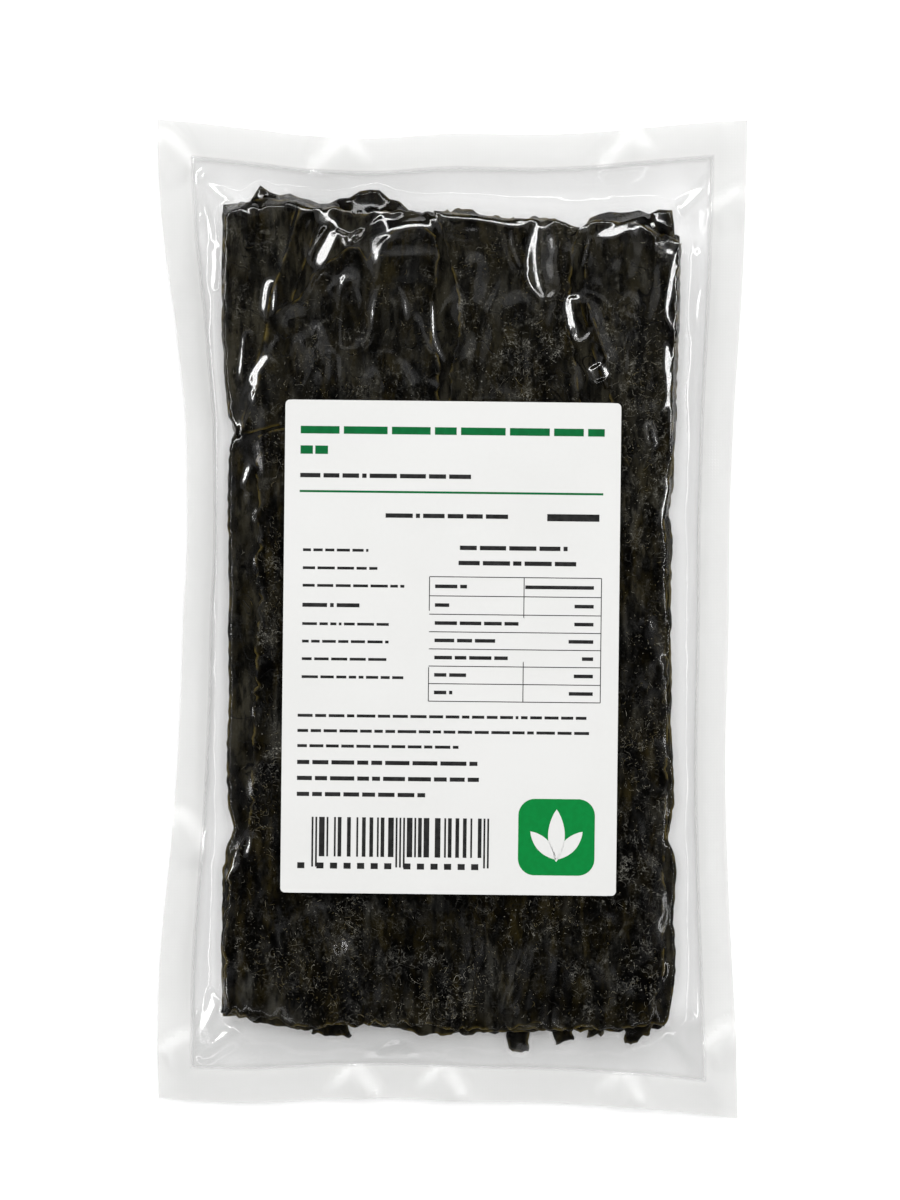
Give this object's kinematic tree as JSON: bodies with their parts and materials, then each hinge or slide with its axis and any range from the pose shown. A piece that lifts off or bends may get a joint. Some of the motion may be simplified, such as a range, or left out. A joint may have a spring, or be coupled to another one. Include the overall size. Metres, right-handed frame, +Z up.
{
  "type": "sealed pack of dried kelp sheets",
  "caption": "Clear vacuum-sealed pouch holding a flat stack of dried kelp sheets, with a rectangular paper label stuck on the front.",
  "frame": {"origin": "middle of the part's box, on the surface that the pack lies on", "axes": "+Z up out of the label's face, +Y along the pack towards the end where the torn sheet ends stand out, +X across it to the right as the label is read"},
  "size_m": [0.149, 0.2522, 0.0135],
  "materials": {
    "kelp_in_film": "near-black olive kelp seen through glossy clear film",
    "label_paper": "smooth off-white paper",
    "clear_film": "glossy clear film, a little milky where two layers are sealed together",
    "kelp": "near-black dried kelp with grey bloom and olive-brown thin edges",
    "print_green": "matt green print",
    "print_black": "matt near-black print"
  },
  "bodies": {
    "root": {"pouch": "kelp_in_film", "label": "label_paper"}
  },
  "joints": []
}
